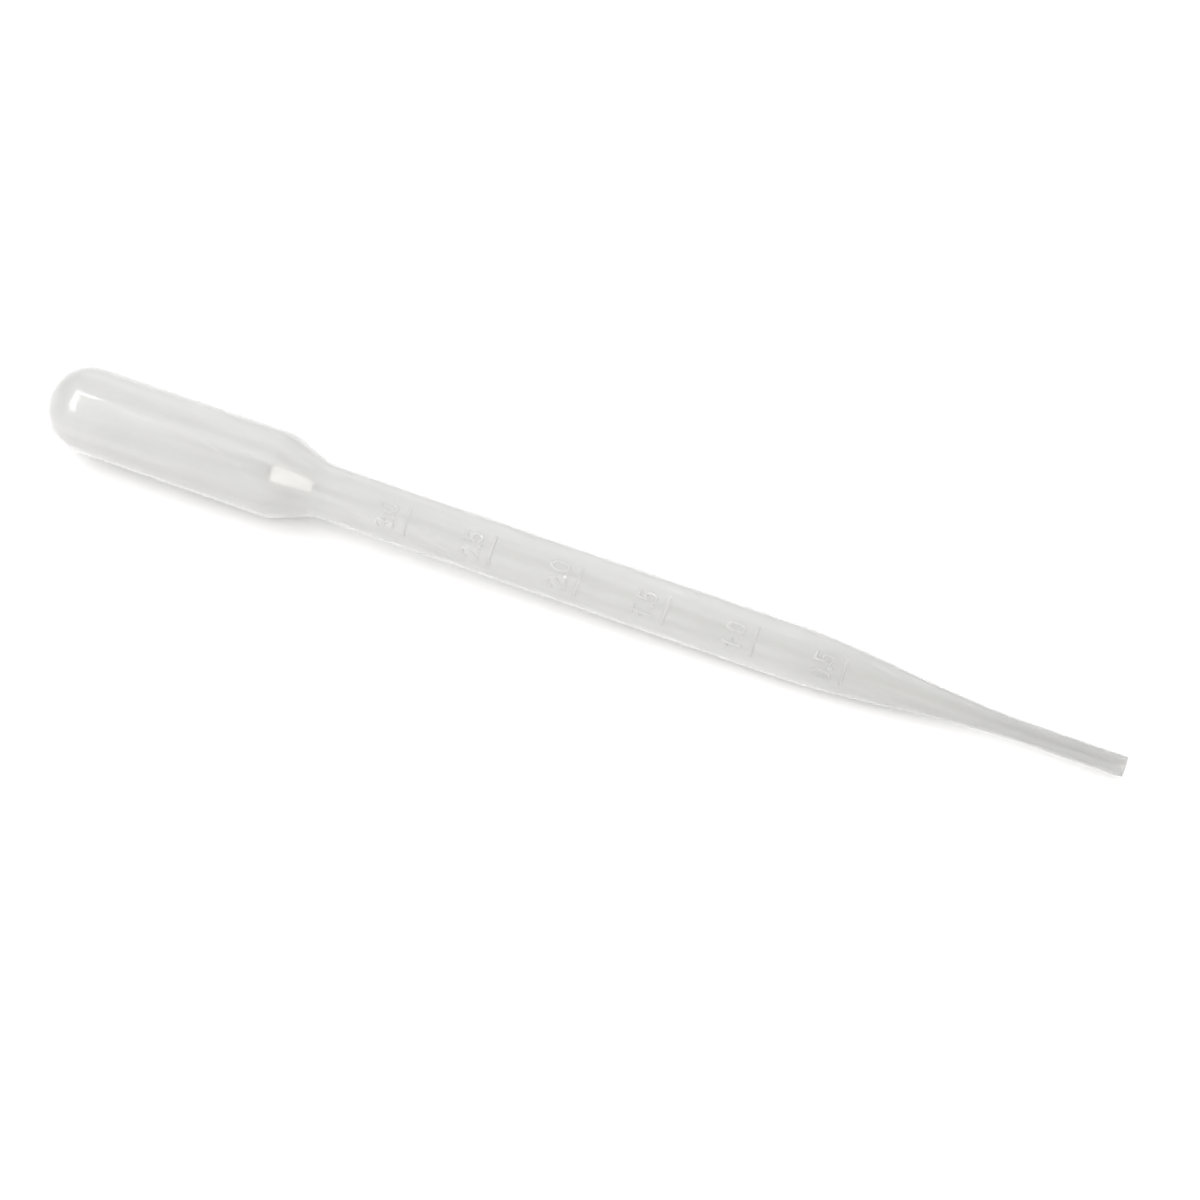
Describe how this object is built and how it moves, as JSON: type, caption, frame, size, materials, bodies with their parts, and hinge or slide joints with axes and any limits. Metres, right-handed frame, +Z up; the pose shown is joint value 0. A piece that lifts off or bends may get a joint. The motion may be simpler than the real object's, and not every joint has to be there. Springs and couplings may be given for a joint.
{
  "type": "graduated transfer pipette",
  "caption": "Soft translucent transfer pipette: squeezable bulb, graduated stem with raised marks, long taper and narrow open tip.",
  "frame": {"origin": "centre of the bounding box in plan, on the plane that the pipette lies on", "axes": "+X from the closed end of the bulb towards the tip, in plan; +Z up, off the plane; the marks face between +Z and -Y"},
  "size_m": [0.16, 0.0126, 0.0135],
  "materials": {
    "polyethylene": "soft satin, translucent, milky low-density polyethylene",
    "raised_marks": "the same polyethylene, raised from the wall, not printed"
  },
  "bodies": {
    "root": {"bulb_dome": "polyethylene", "bulb_front_side": "polyethylene", "bulb_rear_side": "polyethylene", "bulb_shoulder": "polyethylene", "stem": "polyethylene", "taper": "polyethylene", "tip_tube": "polyethylene", "mark_3_0_units": "raised_marks", "mark_3_0_point": "raised_marks", "mark_3_0_tenths": "raised_marks", "mark_3_0_line": "raised_marks", "mark_2_5_units": "raised_marks", "mark_2_5_point": "raised_marks", "mark_2_5_tenths": "raised_marks", "mark_2_5_line": "raised_marks", "mark_2_0_units": "raised_marks", "mark_2_0_point": "raised_marks", "mark_2_0_tenths": "raised_marks", "mark_2_0_line": "raised_marks", "mark_1_5_units": "raised_marks", "mark_1_5_point": "raised_marks", "mark_1_5_tenths": "raised_marks", "mark_1_5_line": "raised_marks", "mark_1_0_units": "raised_marks", "mark_1_0_point": "raised_marks", "mark_1_0_tenths": "raised_marks", "mark_1_0_line": "raised_marks", "mark_0_5_units": "raised_marks", "mark_0_5_point": "raised_marks", "mark_0_5_tenths": "raised_marks", "mark_0_5_line": "raised_marks"},
    "thumb_wall": {"bulb_thumb_wall": "polyethylene"},
    "finger_wall": {"bulb_finger_wall": "polyethylene"}
  },
  "joints": [
    {"name": "thumb_press", "type": "slide", "parent": "root", "child": "thumb_wall", "axis": [-0.0239, 0.6344, -0.7726], "range_m": [0, 0.0046], "stiffness_N_per_m": 500},
    {"name": "finger_press", "type": "slide", "parent": "root", "child": "finger_wall", "axis": [0.0239, -0.6344, 0.7726], "range_m": [0, 0.0046], "stiffness_N_per_m": 500}
  ],
  "couplings": [
    {"joint": "finger_press", "follows": "thumb_press", "ratio": 1}
  ]
}
